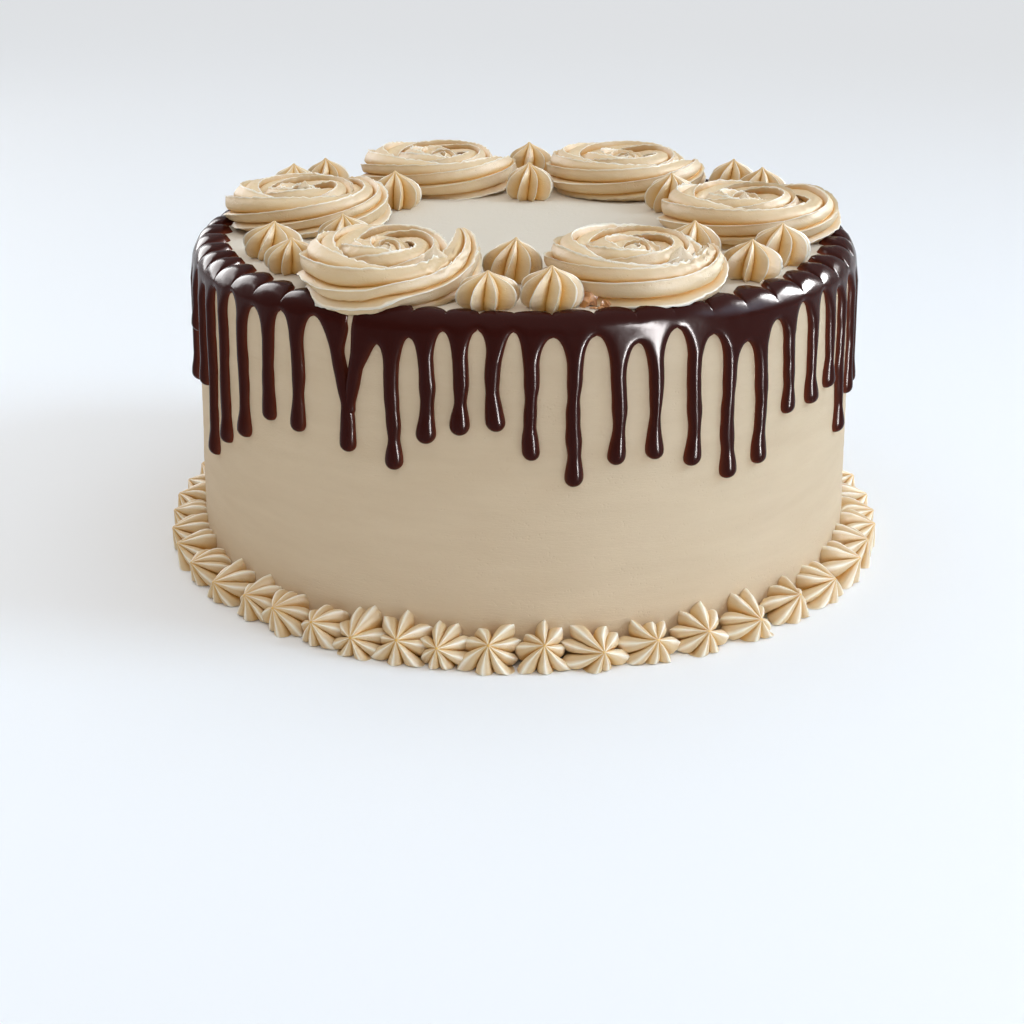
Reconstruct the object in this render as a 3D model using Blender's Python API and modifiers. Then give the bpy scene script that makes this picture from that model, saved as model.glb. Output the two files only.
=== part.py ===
"""Layer cake: a tall round cake in smooth buttercream, with a chocolate drip,
six piped rosettes, small piped kisses between them and a border of stars
round the foot. Metres, +Z up, origin in the middle of the underside, front
towards -Y. Lengths in the tables are in mm and angles in degrees."""

import math

import bmesh
import bpy
import numpy as np

MM = 0.001

CAKE_RADIUS = 0.112
CAKE_HEIGHT = 0.1045
EDGE_RADIUS = 0.005
CAKE_STEPS = 64
GAP = 0.0003

# Rosettes: radius and angle of the centre on the cake, the rosette's own
# radius, and the angle round it at which its rope of cream ends.
ROSETTES = [
    (82.0, -119.1, 26.8, 12.0),
    (78.5, -64.4, 27.4, 10.0),
    (76.5, 0.4, 30.4, 100.0),
    (80.0, 61.5, 31.0, 5.0),
    (80.5, 112.5, 30.5, 8.0),
    (75.5, 169.9, 28.0, 120.0),
]
ROSETTE_HEIGHT = 14.0
ROSETTE_TURNS = 2.15
ROSETTE_RIBS = 7
ROSETTE_TRIANGLES = 720
REMESH_VOXEL = 0.0008

# Kisses in the gaps between the rosettes: radius, angle and own radius.
KISSES = [
    (97.2, -96.1, 8.9),
    (97.8, -85.4, 8.9),
    (66.1, -92.9, 9.1),
    (93.7, -42.0, 8.9),
    (92.2, -28.8, 9.3),
    (67.3, -36.5, 9.0),
    (98.0, 38.0, 8.9),
    (98.0, 27.4, 9.0),
    (62.0, 31.9, 8.9),
    (97.0, 88.5, 9.2),
    (52.5, 87.6, 8.8),
    (98.0, 149.5, 9.1),
    (98.0, 138.7, 9.0),
    (59.3, 140.8, 9.0),
    (89.0, -155.4, 9.3),
    (90.8, -142.4, 8.8),
    (64.8, -153.4, 9.1),
]
KISS_HEIGHT = 12.0
KISS_RIBS = 8

# Drips on the front: angle of the tip and its depth below the cake's top.
# Two legs with no depth of their own run together into one drip.
FRONT_DRIPS = [
    (-164.2, 27.1),
    (-158.1, 42.1),
    (-153.1, 62.9),
    (-147.4, 55.3),
    (-140.7, 49.7),
    (-134.0, 40.7),
    (-127.2, 41.4),
    (-120.2, 0.0),
    (-114.9, 0.0),
    (-109.8, 47.3),
    (-104.6, 38.2),
    (-99.4, 34.9),
    (-94.2, 33.3),
    (-88.8, 42.0),
    (-82.6, 50.3),
    (-75.9, 44.4),
    (-69.8, 43.9),
    (-63.5, 47.7),
    (-57.0, 54.0),
    (-50.4, 52.1),
    (-43.7, 39.2),
    (-36.8, 39.5),
    (-30.4, 37.6),
    (-24.6, 56.0),
]
# Depth of the arch to the right of each of those drips.
FRONT_ARCHES = [
    5.0, 7.5, 6.0, 4.6, 6.2, 5.0, 4.2, 4.2, 9.8, 6.8, 4.2, 3.6, 3.8, 5.4,
    5.2, 8.2, 5.0, 8.4, 12.6, 8.2, 5.4, 4.8, 6.4, 5.2,
]
RIGHT_LEG = 8
LEGS_MEET = 29.0
JOINED_TIP = (-117.6, 44.0)
SPLIT_SIDES = (1.75, 2.65)
OTHER_DRIPS = 29
SHAFT_HALF_WIDTH = 2.35
BULB_HALF_WIDTH = 2.9
SKIN = 2.2
BACK = 0.4

# Border stars on the front; the others are spaced evenly round the back.
FRONT_STARS = [
    -151.1, -142.8, -134.8, -128.2, -121.1, -114.4, -107.9, -101.5, -94.9,
    -87.4, -79.4, -71.6, -63.0, -54.3, -45.0, -35.9, -27.2,
]
OTHER_STARS = 32
STAR_RADIUS = 9.4

CAKE_PARTS = bpy.data.collections.new("layer_cake")


def material(name, colour, roughness):
    """A Principled material with the part's own colour and roughness."""
    made = bpy.data.materials.new(name)
    made.use_nodes = True
    shader = made.node_tree.nodes["Principled BSDF"]
    shader.inputs["Base Color"].default_value = (*colour, 1.0)
    shader.inputs["Roughness"].default_value = roughness
    shader.inputs["Metallic"].default_value = 0.0
    return made


def mesh_from(name, points, faces):
    """A mesh with its faces turned outwards and the quads split."""
    mesh = bpy.data.meshes.new(name)
    mesh.from_pydata([tuple(float(c) for c in point) for point in points], [], faces)
    work = bmesh.new()
    work.from_mesh(mesh)
    bmesh.ops.triangulate(work, faces=work.faces[:], quad_method="SHORT_EDGE")
    bmesh.ops.recalc_face_normals(work, faces=work.faces[:])
    work.to_mesh(mesh)
    work.free()
    return mesh


def add_part(name, mesh, surface, parent, location=(0.0, 0.0, 0.0)):
    """Put a mesh under the cake's empty, in the cake's collection."""
    mesh.materials.clear()
    mesh.materials.append(surface)
    piece = bpy.data.objects.new(name, mesh)
    piece.location = location
    piece.parent = parent
    CAKE_PARTS.objects.link(piece)
    return piece


def on_cake(radius, angle, lift=0.0):
    """A point on the cake's top from polar coordinates in mm and degrees."""
    turn = math.radians(angle)
    return (
        radius * MM * math.cos(turn),
        radius * MM * math.sin(turn),
        CAKE_HEIGHT + lift,
    )


def groove(turn, ribs):
    """How deep a ribbed section lies at an angle: 0 on a crest, 1 in a valley."""
    across = np.abs(2.0 * ((turn * ribs / (2.0 * np.pi)) % 1.0) - 1.0)
    soft = 0.16
    rounded = np.sqrt(across * across + soft * soft) - soft
    return rounded / (math.sqrt(1.0 + soft * soft) - soft)


def cake_body(surface, parent):
    """The cake: a profile turned round the Z axis with a rounded top edge."""
    inset = CAKE_RADIUS - EDGE_RADIUS
    profile = [(0.0, CAKE_HEIGHT)]
    for part in range(3):
        turn = math.radians(45.0 * part)
        profile.append((
            inset + EDGE_RADIUS * math.sin(turn),
            CAKE_HEIGHT - EDGE_RADIUS + EDGE_RADIUS * math.cos(turn),
        ))
    profile += [(CAKE_RADIUS, 0.0), (0.0, 0.0)]
    mesh = bpy.data.meshes.new("cake_body")
    edges = [(i, i + 1) for i in range(len(profile) - 1)]
    mesh.from_pydata([(x, 0.0, z) for x, z in profile], edges, [])
    piece = add_part("cake_body", mesh, surface, parent)
    turned = piece.modifiers.new("turned", "SCREW")
    turned.steps = CAKE_STEPS
    turned.render_steps = CAKE_STEPS
    turned.use_merge_vertices = True
    turned.merge_threshold = 0.00001
    turned.use_smooth_shade = False
    return piece


def rosette_rope(radius, ending, seed):
    """A star-shaped rope of cream wound outwards on a flat spiral, as a mesh."""
    rng = np.random.default_rng(seed)
    steps = 260
    around = 70
    along = np.linspace(0.0, 1.0, steps)
    rope = 0.5 * ROSETTE_HEIGHT
    turn = math.radians(ending) + 2.0 * np.pi * ROSETTE_TURNS * (1.0 - along)
    reach = 2.0 + (radius - rope - 1.0) * np.clip(along * 1.14, 0.0, 1.0) ** 0.62
    size = rope * (0.55 + 0.45 * np.clip(along / 0.35, 0.0, 1.0) ** 0.8)
    tail = np.clip((along - 0.90) / 0.10, 0.0, 1.0)
    size = size * (1.0 - 0.82 * tail ** 1.4)
    reach = reach + 0.25 * np.sin(1.7 * turn + rng.uniform(0.0, 6.0))
    height = 0.46 * ROSETTE_HEIGHT - 1.8 * (1.0 - np.clip(along / 0.45, 0.0, 1.0))
    height = height + 1.0 * tail
    path = np.stack([reach * np.cos(turn), reach * np.sin(turn), height], 1)
    path[:, :2] -= 0.5 * (path[:, :2].max(axis=0) + path[:, :2].min(axis=0))
    step = np.gradient(path, axis=0)
    heading = np.unwrap(np.arctan2(step[:, 1], step[:, 0]))
    side = np.stack([-np.sin(heading), np.cos(heading), 0.0 * heading], 1)
    section = np.linspace(0.0, 2.0 * np.pi, around, endpoint=False)
    spin, facing = np.meshgrid(section, heading)
    depth = groove(spin + 0.5 * facing, ROSETTE_RIBS)
    reach_out = size[:, None] * (1.0 - 0.30 * depth)
    points = path[:, None, :] + reach_out[..., None] * (
        np.cos(spin)[..., None] * np.array([0.0, 0.0, 1.02])
        + 1.05 * np.sin(spin)[..., None] * side[:, None, :]
    )
    points[..., 2] = np.maximum(points[..., 2], 0.0)
    faces = []
    for i in range(steps - 1):
        for j in range(around):
            k = (j + 1) % around
            a = i * around
            b = a + around
            faces.append((a + j, a + k, b + k, b + j))
    faces.append(tuple(range(around))[::-1])
    faces.append(tuple((steps - 1) * around + j for j in range(around)))
    mesh = bpy.data.meshes.new("rope")
    mesh.from_pydata((points.reshape(-1, 3) * MM).tolist(), [], faces)
    return mesh


def rosette_mesh(radius, ending, seed):
    """The wound rope as one skin, thinned out, with a flat underside."""
    guide = bpy.data.objects.new("rope", rosette_rope(radius, ending, seed))
    CAKE_PARTS.objects.link(guide)
    skin = guide.modifiers.new("skin", "REMESH")
    skin.mode = "VOXEL"
    skin.voxel_size = REMESH_VOXEL
    depsgraph = bpy.context.evaluated_depsgraph_get()
    fine = len(guide.evaluated_get(depsgraph).data.polygons)
    thin = guide.modifiers.new("thin", "DECIMATE")
    thin.ratio = ROSETTE_TRIANGLES / (2.0 * fine)
    thin.use_collapse_triangulate = True
    depsgraph = bpy.context.evaluated_depsgraph_get()
    mesh = bpy.data.meshes.new_from_object(guide.evaluated_get(depsgraph))
    rope = guide.data
    bpy.data.objects.remove(guide)
    bpy.data.meshes.remove(rope)
    for vertex in mesh.vertices:
        if vertex.co.z < 0.7 * MM:
            vertex.co.z = 0.0
    return mesh


def kiss_mesh(radius, twist, seed):
    """A small onion-shaped kiss: ribbed rings that close in a pulled tip."""
    rng = np.random.default_rng(seed)
    columns = 2 * KISS_RIBS
    start = rng.uniform(0.0, 2.0 * np.pi)
    rings = [(0.0, 0.84, 0.26), (0.34, 1.0, 0.40), (0.72, 0.66, 0.44)]
    points = []
    for height, width, depth in rings:
        for j in range(columns):
            turn = start + 2.0 * np.pi * j / columns + twist * height
            reach = radius * width * (1.0 - depth * (j % 2))
            points.append((reach * np.cos(turn), reach * np.sin(turn), KISS_HEIGHT * height))
    lean = rng.uniform(-0.8, 0.8, 2)
    points.append((lean[0], lean[1], KISS_HEIGHT))
    faces = [tuple(range(columns))]
    for i in range(len(rings) - 1):
        for j in range(columns):
            k = (j + 1) % columns
            a = i * columns
            b = a + columns
            faces.append((a + j, a + k, b + k, b + j))
    last = (len(rings) - 1) * columns
    for j in range(columns):
        faces.append((last + j, last + (j + 1) % columns, len(points) - 1))
    return mesh_from("kiss", np.array(points) * MM, faces)


def zip_rows(faces, upper, lower):
    """Fill the strip between two rows of (angle, vertex) with triangles."""
    i = 0
    j = 0
    while i < len(upper) - 1 or j < len(lower) - 1:
        if j == len(lower) - 1:
            take_upper = True
        elif i == len(upper) - 1:
            take_upper = False
        else:
            take_upper = upper[i + 1][0] <= lower[j + 1][0]
        if take_upper:
            faces.append((upper[i][1], upper[i + 1][1], lower[j][1]))
            i += 1
        else:
            faces.append((upper[i][1], lower[j + 1][1], lower[j][1]))
            j += 1


def skin_point(angle, along, lift):
    """A point over the cake's top edge. Along is the distance in mm from
    where the flat top ends, inwards below 0 and down the side above it."""
    edge = EDGE_RADIUS / MM
    inset = CAKE_RADIUS / MM - edge
    top = CAKE_HEIGHT / MM
    quarter = 0.5 * math.pi * edge
    if along < 0.0:
        reach, height = inset + along, top + lift
    elif along < quarter:
        bend = along / edge
        reach = inset + (edge + lift) * math.sin(bend)
        height = top - edge + (edge + lift) * math.cos(bend)
    else:
        reach, height = inset + edge + lift, top - edge - (along - quarter)
    turn = math.radians(angle)
    return (reach * math.cos(turn), reach * math.sin(turn), height)


def along_at_depth(depth):
    """The distance along the skin of a point this far below the top."""
    edge = EDGE_RADIUS / MM
    if depth >= edge:
        return 0.5 * math.pi * edge + depth - edge
    return edge * math.acos(1.0 - depth / edge)


def topping_feet(toppings):
    """Angle and radius of all points of the toppings near the cake's top."""
    feet = []
    low = CAKE_HEIGHT + 3.2 * MM
    for piece in toppings:
        offset = np.array(piece.location)
        for vertex in piece.data.vertices:
            point = np.array(vertex.co) + offset
            if point[2] < low:
                radius = math.hypot(point[0], point[1]) / MM
                feet.append((math.degrees(math.atan2(point[1], point[0])), radius))
    return np.array(feet)


def drip_tables():
    """Angle, depth and the arch on the right for all drips, from the split."""
    rng = np.random.default_rng(21)
    drips = list(zip(FRONT_DRIPS, FRONT_ARCHES))
    first = FRONT_DRIPS[0][0] + 360.0
    last = FRONT_DRIPS[-1][0]
    pitch = (first - last) / (OTHER_DRIPS + 1)
    for i in range(OTHER_DRIPS):
        angle = last + pitch * (i + 1) + rng.uniform(-0.35, 0.35)
        drips.append(((angle, rng.uniform(31.0, 58.0)), rng.uniform(4.0, 8.5)))
    wrapped = [((angle + 360.0, depth), arch) for (angle, depth), arch in drips[:RIGHT_LEG]]
    return drips[RIGHT_LEG:] + wrapped


def inner_edge(feet, angle, wanted):
    """Where the band's edge lies on the top, kept off the toppings' feet."""
    flat = (CAKE_RADIUS - EDGE_RADIUS) / MM
    away = np.abs((feet[:, 0] - angle + 180.0) % 360.0 - 180.0)
    near = feet[away < 3.4, 1]
    reach = max([flat + wanted] + [float(radius) + 0.6 for radius in near])
    if reach <= flat:
        return reach - flat
    return EDGE_RADIUS / MM * math.asin(min(0.8, (reach - flat) * MM / EDGE_RADIUS))


def ganache_mesh(toppings):
    """The chocolate: a scalloped band over the top edge with its drips.

    Rows A to E of points run round the cake, from the inner edge of the band
    to its arches, in front and on the cake. The strips between them are
    filled. The band is split on the left of the front. The two legs at the
    split run together lower down, which closes the ring."""
    feet = topping_feet(toppings)
    rng = np.random.default_rng(5)
    drips = drip_tables()
    last = len(drips) - 1
    edge = 0.5 * math.pi * EDGE_RADIUS / MM
    points = []
    faces = []
    front = {name: [] for name in "ABCDE"}
    rear = {name: [] for name in "ABCDE"}
    shafts = []
    arches = []

    def add(angle, along, lift=0.0):
        points.append(skin_point(angle, along, BACK + lift))
        return (angle, len(points) - 1)

    def column(angle, start, end, thick, sides=(0.0,), shift=0.0):
        """Points of rows A to D at one angle, in front and on the cake."""
        second = max(0.0, start + 1.2)
        third = max(0.5 * edge, second + 0.9)
        third = min(third, end - 0.5)
        second = min(second, third - 0.5)
        for name, along, lift in (("B", second, 0.8), ("C", third, 0.95)):
            front[name].append(add(angle + shift, along, lift * thick))
            rear[name].append(add(angle, along))
        for side in sides:
            front["D"].append(add(angle + side + shift, end, thick))
        rear["D"].append(add(angle, end))

    def rim(angle, along, shift=0.0):
        front["A"].append(add(angle + shift, along + 0.5, 1.1))
        rear["A"].append(add(angle, along))

    for i, ((angle, _), arch) in enumerate(drips):
        before = drips[i - 1][1] if i > 0 else arch
        after = arch if i < last else before
        left_room = angle - drips[i - 1][0][0] if i > 0 else 0.0
        right_room = drips[i + 1][0][0] - angle if i < last else 0.0
        left = min(2.05, 0.5 * left_room - 0.75) if i > 0 else SPLIT_SIDES[0]
        right = min(2.05, 0.5 * right_room - 0.75) if i < last else SPLIT_SIDES[1]
        neck = along_at_depth(max(before, after) + 1.8)
        start = inner_edge(feet, angle, rng.uniform(-2.0, -1.2))
        rim(angle, start)
        column(angle, start, min(edge, neck - 1.0), 2.1, (-0.5 * left, 0.5 * right))
        for side, spread, is_end in ((-1, left, i == 0), (1, right, i == last)):
            if is_end:
                key = angle + side * spread
                start = inner_edge(feet, key, -2.5)
                rim(key, start, -0.35 * side)
                column(key, start, min(edge, neck - 1.0), 1.5, shift=-0.35 * side)
        row = [
            add(angle - left, neck),
            add(angle - 0.5 * left, neck, SKIN),
            add(angle + 0.5 * right, neck, SKIN),
            add(angle + right, neck),
        ]
        front["E"] += row
        rear["E"] += [row[0], row[-1]]
        shafts.append(row)
        if i < last:
            middle = angle + 0.5 * right_room
            lobe = rng.uniform(-4.6, -1.6)
            for side in (-1.2, 1.2):
                rim(middle + side, inner_edge(feet, middle + side, lobe))
            low = along_at_depth(arch)
            column(middle, inner_edge(feet, middle, lobe), min(edge, low - 0.9), 1.7)
            arches.append((add(middle, low - 0.4, 1.0), add(middle, low)))
            front["E"].append(arches[-1][0])
            rear["E"].append(arches[-1][1])

    for row in list(front.values()) + list(rear.values()):
        row.sort()
    for upper, lower in ("AB", "BC", "CD", "DE"):
        zip_rows(faces, front[upper], front[lower])
        zip_rows(faces, rear[upper], rear[lower])
        for end in (0, -1):
            fill = [front[upper][end][1], front[lower][end][1], rear[lower][end][1]]
            if lower != "E":
                faces.append((fill[0], fill[2], rear[upper][end][1]))
            else:
                fill[2] = rear[upper][end][1]
            faces.append(tuple(fill))
    zip_rows(faces, front["A"], rear["A"])
    for i, (outer, inner) in enumerate(arches):
        faces.append((shafts[i][-1][1], outer[1], inner[1]))
        faces.append((outer[1], shafts[i + 1][0][1], inner[1]))

    def station(angle, depth, half, lift, edges=None):
        """A section of a drip: its edges on the cake and two points in front."""
        spread = math.degrees(half * MM / CAKE_RADIUS)
        along = along_at_depth(depth)
        if edges is None:
            edges = (add(angle - spread, along), add(angle + spread, along))
        inside = [add(angle + 0.55 * side * spread, along, lift) for side in (-1, 1)]
        return [edges[0]] + inside + [edges[1]]

    def join(upper, lower):
        zip_rows(faces, upper, lower)
        zip_rows(faces, [upper[0], upper[-1]], [lower[0], lower[-1]])

    def finish(row, angle, depth):
        """The rounded bulb and the tip of a drip."""
        bulb = station(angle, depth - 2.6, BULB_HALF_WIDTH, 2.8)
        join(row, bulb)
        end = add(angle, along_at_depth(depth), 0.9)
        for a, b in zip(bulb, bulb[1:]):
            faces.append((a[1], b[1], end[1]))
        faces.append((bulb[0][1], bulb[-1][1], end[1]))

    for i in range(1, last):
        angle, depth = drips[i][0]
        high = max(drips[i][1], drips[i - 1][1]) + 6.5
        upper = station(angle + rng.uniform(-0.3, 0.3), high, 2.5, SKIN)
        join(shafts[i], upper)
        lower = station(angle, depth - 8.0, SHAFT_HALF_WIDTH, SKIN)
        join(upper, lower)
        finish(lower, angle, depth)

    angle, depth = JOINED_TIP
    along = along_at_depth(LEGS_MEET)
    meeting = add(angle, along)
    right_leg = station(drips[0][0][0] - 1.1, 18.0, SHAFT_HALF_WIDTH, SKIN)
    join(shafts[0], right_leg)
    right_foot = station(angle + 1.1, LEGS_MEET, SHAFT_HALF_WIDTH, SKIN, (meeting, add(angle + 2.1, along)))
    join(right_leg, right_foot)
    left_leg = station(drips[-1][0][0] - 358.9, 16.0, 1.15 * SHAFT_HALF_WIDTH, SKIN)
    join([(turn - 360.0, vertex) for turn, vertex in shafts[-1]], left_leg)
    left_foot = station(angle - 1.1, LEGS_MEET, SHAFT_HALF_WIDTH, SKIN, (add(angle - 2.1, along), meeting))
    join(left_leg, left_foot)
    joined = station(angle, LEGS_MEET + 5.0, 2.6, 2.3)
    zip_rows(faces, left_foot + right_foot[1:], joined)
    zip_rows(faces, [left_foot[0], meeting, right_foot[-1]], [joined[0], joined[-1]])
    finish(joined, angle, depth)
    return mesh_from("ganache_drip", np.array(points) * MM, faces)


def star_border_mesh():
    """The border: ribbed stars side by side in the corner at the cake's foot.

    A star's crests and valleys leave its tip in sixteen directions. The sides
    of neighbouring stars share their points, so the border is one ring."""
    rng = np.random.default_rng(8)
    first = FRONT_STARS[0] + 360.0
    last = FRONT_STARS[-1]
    pitch = (first - last) / (OTHER_STARS + 1)
    angles = list(FRONT_STARS)
    for i in range(OTHER_STARS):
        angles.append(last + pitch * (i + 1) + rng.uniform(-0.25, 0.25))
    count = len(angles)
    wall = (CAKE_RADIUS + GAP) / MM
    points = []
    faces = []

    def add(angle, out, up, across=0.0):
        """A point at this distance from the wall and floor, moved sideways."""
        turn = math.radians(angle) + across / (wall + out)
        reach = wall + out
        points.append((reach * math.cos(turn), reach * math.sin(turn), up))
        return len(points) - 1

    # Side rows go from the floor up to the wall: out, up.
    side_row = [(11.2, 0.0), (8.8, 3.3), (8.2, 7.2), (3.7, 8.6), (0.0, 12.6)]
    sides = []
    for i in range(count):
        angle = angles[i]
        after = angles[i + 1] if i < count - 1 else angles[0] + 360.0
        middle = 0.5 * (angle + after)
        swell = rng.uniform(0.95, 1.05)
        row = [add(middle, out * swell, up * swell) for out, up in side_row]
        sides.append((row, add(middle, 0.0, 0.0), middle))
    for i in range(count):
        angle = angles[i]
        left, left_corner, _ = sides[i - 1]
        right, right_corner, _ = sides[i]
        size = STAR_RADIUS * rng.uniform(0.95, 1.06)
        spin = rng.uniform(-0.12, 0.12)
        tilt = math.radians(rng.uniform(42.0, 50.0))
        base = 6.4
        foot = [add(angle, 11.9, 0.0, 3.6), add(angle, 13.6, 0.0), add(angle, 11.9, 0.0, -3.6)]
        head = [add(angle, 0.0, 13.6, -3.6), add(angle, 0.0, 16.2), add(angle, 0.0, 13.6, 3.6)]
        # The outer ring starts at the crest on the right and goes up the wall.
        outer = [right[2], right[3], right[4]] + head[::-1] + [left[4], left[3], left[2]]
        outer += [left[1], left[0]] + foot[::-1] + [right[0], right[1]]
        inner = []
        for k in range(16):
            around = 2.0 * math.pi * k / 16.0 + spin
            crest = k % 2 == 0
            wide = size * (0.74 if crest else 0.40)
            high = base + size * (0.62 if crest else 0.34)
            across = wide * math.cos(around)
            rise = wide * math.sin(around)
            out = high * math.cos(tilt) - rise * math.sin(tilt)
            up = high * math.sin(tilt) + rise * math.cos(tilt)
            inner.append(add(angle, max(out, 0.4), max(up, 0.4), across))
        top = base + size * 1.06
        point = add(angle, top * math.cos(tilt), top * math.sin(tilt), rng.uniform(-0.6, 0.6))
        for k in range(16):
            n = (k + 1) % 16
            faces.append((outer[k], outer[n], inner[n], inner[k]))
            faces.append((inner[k], inner[n], point))
        corner = add(angle, 0.0, 0.0)
        wall_row = [left[4]] + head + [right[4]]
        for k in range(4):
            ends = (left_corner, corner) if k < 2 else (corner, right_corner)
            hub = ends[0] if k < 2 else ends[1]
            faces.append((wall_row[k], wall_row[k + 1], hub))
        faces.append((wall_row[2], left_corner, corner))
        faces.append((wall_row[2], corner, right_corner))
        floor_row = [left[0]] + foot[::-1] + [right[0]]
        for k in range(4):
            hub = left_corner if k < 2 else right_corner
            faces.append((floor_row[k], floor_row[k + 1], hub))
        faces.append((floor_row[2], left_corner, corner))
        faces.append((floor_row[2], corner, right_corner))
    return mesh_from("star_border", np.array(points) * MM, faces)


def build():
    for old in list(bpy.data.objects):
        bpy.data.objects.remove(old)
    bpy.context.scene.collection.children.link(CAKE_PARTS)
    whole = bpy.data.objects.new("layer_cake", None)
    CAKE_PARTS.objects.link(whole)

    frosting = material("smooth_buttercream", (0.66, 0.52, 0.37), 0.55)
    cream = material("piped_cream", (0.78, 0.60, 0.40), 0.5)
    chocolate = material("chocolate_ganache", (0.045, 0.010, 0.007), 0.15)

    cake_body(frosting, whole)
    toppings = []
    rng = np.random.default_rng(3)
    for i, (radius, angle, size, ending) in enumerate(ROSETTES):
        mesh = rosette_mesh(size, ending, 3 + 2 * i)
        place = on_cake(radius, angle, GAP)
        toppings.append(add_part("rosette_%d" % (i + 1), mesh, cream, whole, place))
    for i, (radius, angle, size) in enumerate(KISSES):
        mesh = kiss_mesh(size, rng.uniform(0.1, 0.5), 40 + i)
        place = on_cake(radius, angle, GAP)
        toppings.append(add_part("kiss_%02d" % (i + 1), mesh, cream, whole, place))
    add_part("ganache_drip", ganache_mesh(toppings), chocolate, whole)
    add_part("star_border", star_border_mesh(), cream, whole)


build()
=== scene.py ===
import math

import bmesh
import bpy
import numpy as np
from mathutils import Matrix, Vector, noise


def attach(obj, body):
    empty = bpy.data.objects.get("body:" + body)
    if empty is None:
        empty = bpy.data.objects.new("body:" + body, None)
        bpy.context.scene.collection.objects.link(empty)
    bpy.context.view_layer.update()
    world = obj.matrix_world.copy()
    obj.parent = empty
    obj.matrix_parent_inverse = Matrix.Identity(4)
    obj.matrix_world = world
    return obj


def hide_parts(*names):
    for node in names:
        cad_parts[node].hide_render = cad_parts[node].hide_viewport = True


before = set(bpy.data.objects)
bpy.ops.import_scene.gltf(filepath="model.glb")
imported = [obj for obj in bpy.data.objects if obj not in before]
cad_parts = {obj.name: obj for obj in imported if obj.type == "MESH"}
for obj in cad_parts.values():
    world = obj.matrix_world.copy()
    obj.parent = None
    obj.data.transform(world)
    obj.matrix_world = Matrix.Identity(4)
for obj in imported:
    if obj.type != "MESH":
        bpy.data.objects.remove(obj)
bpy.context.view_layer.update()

mm = 0.001

cake = {
    "radius": 112.0,
    "height": 104.5,
    "edge": 5.0,  # radius of the rounded top edge
    "taper": 1.5,  # how much narrower the top is than the foot, in radius
    "around": 420,
    "sideRows": 84,
    "edgeRows": 10,
    "topRows": 34,
    "smear": 0.16,  # how far the smoothed side wanders in and out
    "smearScale": (0.02, 0.02, 0.17),  # long level smears from the scraper
    "lumpScale": (0.035, 0.035, 0.05),
}


# shared makers

def meshPiece(name, points, faces, material, node=None, smooth=True, masks=None):
    mesh = bpy.data.meshes.new(name)
    mesh.from_pydata(np.asarray(points, dtype=float).tolist(), [], faces)
    if smooth:
        mesh.shade_smooth()
    for maskName, values in (masks or {}).items():
        layer = mesh.attributes.new(maskName, "FLOAT", "POINT")
        layer.data.foreach_set("value", np.asarray(values, dtype=np.float32).ravel())
    mesh.materials.append(material)
    piece = bpy.data.objects.new(name, mesh)
    bpy.context.scene.collection.objects.link(piece)
    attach(piece, "root")
    if node:
        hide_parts(node)
    return piece


def gridFaces(rows, columns, closed=True):
    # quads over a grid of points, wound so that they face outwards when
    # the columns run anticlockwise and the rows run upwards
    reach = columns if closed else columns - 1
    faces = []
    for i in range(rows - 1):
        low = i * columns
        high = low + columns
        for j in range(reach):
            k = (j + 1) % columns
            faces.append((low + j, low + k, high + k, high + j))
    return faces


def closedFaces(rows, columns):
    # the same grid with its two ends filled
    faces = gridFaces(rows, columns)
    faces.append(tuple((rows - 1) * columns + j for j in range(columns)))
    faces.append(tuple(range(columns))[::-1])
    return faces


def joinShells(shells):
    # shells are separate (points, faces, mask), all in one mesh afterwards
    points, faces, masks = [], [], []
    start = 0
    for shellPoints, shellFaces, mask in shells:
        points.append(shellPoints.reshape(-1, 3))
        faces += [tuple(start + corner for corner in face) for face in shellFaces]
        masks.append(np.ravel(mask))
        start += len(points[-1])
    return np.concatenate(points), faces, np.concatenate(masks)


def noiseAt(points, scale, seed, octaves=2):
    shift = Vector((seed * 7.13, seed * 3.71, seed * 5.37))
    flat = np.asarray(points).reshape(-1, 3)
    values = [
        noise.fractal(Vector(point) * scale + shift, 0.6, 2.1, octaves)
        for point in flat.tolist()
    ]
    return np.array(values).reshape(np.asarray(points).shape[:-1])


def polar(radius, angle, height=0.0):
    turn = math.radians(angle)
    return np.array([radius * math.cos(turn), radius * math.sin(turn), height])


# finishes

def newGroup(name, inputs, outputs):
    tree = bpy.data.node_groups.new(name, "ShaderNodeTree")
    for socketName, kind, value in inputs:
        socket = tree.interface.new_socket(socketName, in_out="INPUT", socket_type=kind)
        socket.default_value = value
    for socketName, kind in outputs:
        tree.interface.new_socket(socketName, in_out="OUTPUT", socket_type=kind)
    return tree, tree.nodes.new("NodeGroupInput"), tree.nodes.new("NodeGroupOutput")


def addNode(tree, kind, **values):
    node = tree.nodes.new(kind)
    for key, value in values.items():
        if key in node.inputs:
            node.inputs[key].default_value = value
        else:
            setattr(node, key, value)
    return node


def newMaterial(name):
    made = bpy.data.materials.new(name)
    made.use_nodes = True
    return made, made.node_tree, made.node_tree.nodes["Principled BSDF"]


def mixColours(tree, share, low, high):
    # low and high are colours, or the sockets that give them
    blend = addNode(tree, "ShaderNodeMix", data_type="RGBA")
    tree.links.new(share, blend.inputs[0])
    for socket, value in ((blend.inputs[6], low), (blend.inputs[7], high)):
        if isinstance(value, tuple):
            socket.default_value = (*value, 1.0)
        else:
            tree.links.new(value, socket)
    return blend.outputs[2]


def remap(tree, value, fromLimits, toLimits=(0.0, 1.0), kind="LINEAR"):
    node = addNode(tree, "ShaderNodeMapRange", interpolation_type=kind)
    for name, limit in zip(("From Min", "From Max", "To Min", "To Max"), (*fromLimits, *toLimits)):
        node.inputs[name].default_value = limit
    tree.links.new(value, node.inputs["Value"])
    return node.outputs["Result"]


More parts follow.
